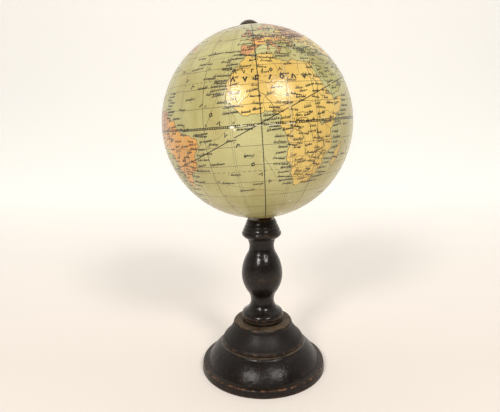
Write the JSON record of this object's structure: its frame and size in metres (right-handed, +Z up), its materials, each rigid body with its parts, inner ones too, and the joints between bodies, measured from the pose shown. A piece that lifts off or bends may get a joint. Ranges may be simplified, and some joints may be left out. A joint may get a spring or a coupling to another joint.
{
  "type": "desktop globe on stand",
  "caption": "Small table globe with a pasted gore map, turning on a leaning spindle above a turned ebonised wooden stand.",
  "frame": {"origin": "centre of the base's underside, where the stand rests", "axes": "+Z up along the column; the front, with the prime meridian, faces -Y; the spindle leans towards -X"},
  "size_m": [0.12, 0.12, 0.2292],
  "materials": {
    "ebonised_wood": "worn black polish",
    "bare_wood": "raw",
    "steel": "dull",
    "brass": "dull",
    "papier_mache": "matte",
    "plaster": "matte",
    "map_paper": "varnished print"
  },
  "bodies": {
    "stand": {"base_plinth": "ebonised_wood", "base_tier": "ebonised_wood", "column": "ebonised_wood", "column_screw": "steel", "screw_washer": "steel", "spindle": "steel", "support_washer": "brass", "top_washer": "brass", "finial": "ebonised_wood"},
    "globe": {"shell_south": "papier_mache", "shell_north": "papier_mache", "joint_band": "papier_mache", "plaster_coat": "plaster", "strut": "bare_wood", "pole_tacks": "steel", "bush_south": "brass", "bush_north": "brass", "calotte_south": "map_paper", "calotte_north": "map_paper", "gore_01": "map_paper", "gore_02": "map_paper", "gore_03": "map_paper", "gore_04": "map_paper", "gore_05": "map_paper", "gore_06": "map_paper", "gore_07": "map_paper", "gore_08": "map_paper", "gore_09": "map_paper", "gore_10": "map_paper", "gore_11": "map_paper", "gore_12": "map_paper"}
  },
  "joints": [
    {"name": "globe_spin", "type": "hinge", "parent": "stand", "child": "globe", "pos_m": [0.0024, 0, 0.1046], "axis": [-0.0698, 0, 0.9976], "continuous": true}
  ]
}
